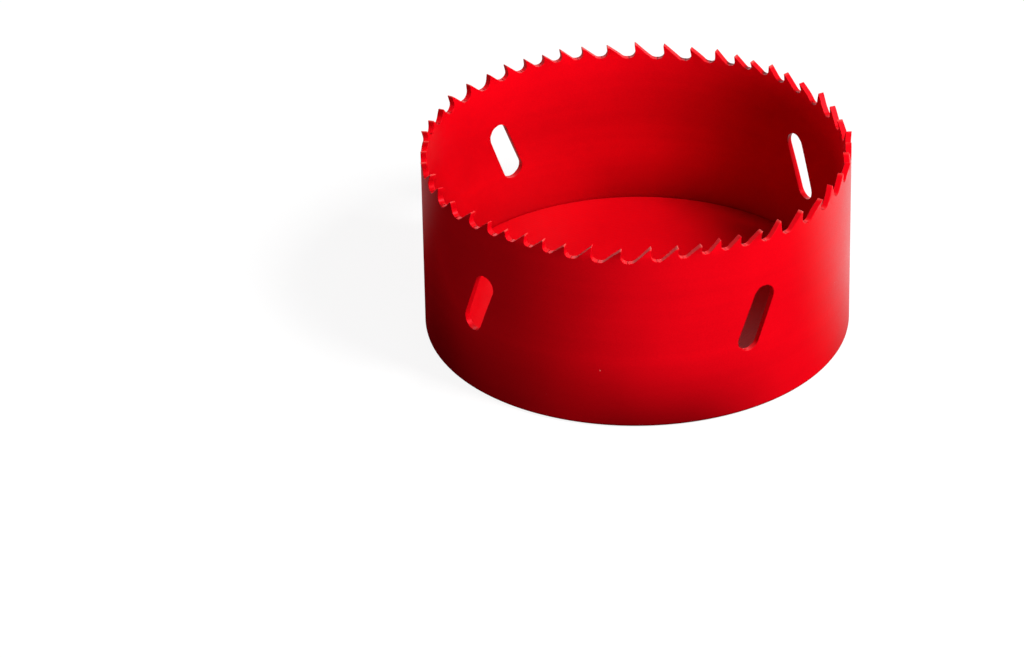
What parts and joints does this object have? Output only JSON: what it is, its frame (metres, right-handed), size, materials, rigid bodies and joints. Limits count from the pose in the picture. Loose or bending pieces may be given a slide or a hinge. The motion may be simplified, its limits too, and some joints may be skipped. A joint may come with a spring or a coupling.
{
  "type": "hole saw",
  "caption": "Deep cup saw with set teeth round its rim, slanted ejector slots in the band and a thick back plate with a threaded arbor hole, for boring large holes",
  "frame": {"origin": "centre of the flat back face, on the saw's axis", "axes": "+Z runs along the saw's axis from the back plate to the teeth, +X passes through a drive pin hole, and the strip's butt weld lies near -Y"},
  "size_m": [0.0923, 0.0927, 0.0428],
  "materials": {
    "band_enamel": "satin",
    "plate_enamel": "satin"
  },
  "bodies": {
    "root": {"toothed_band": "band_enamel", "back_plate": "plate_enamel"}
  },
  "joints": []
}
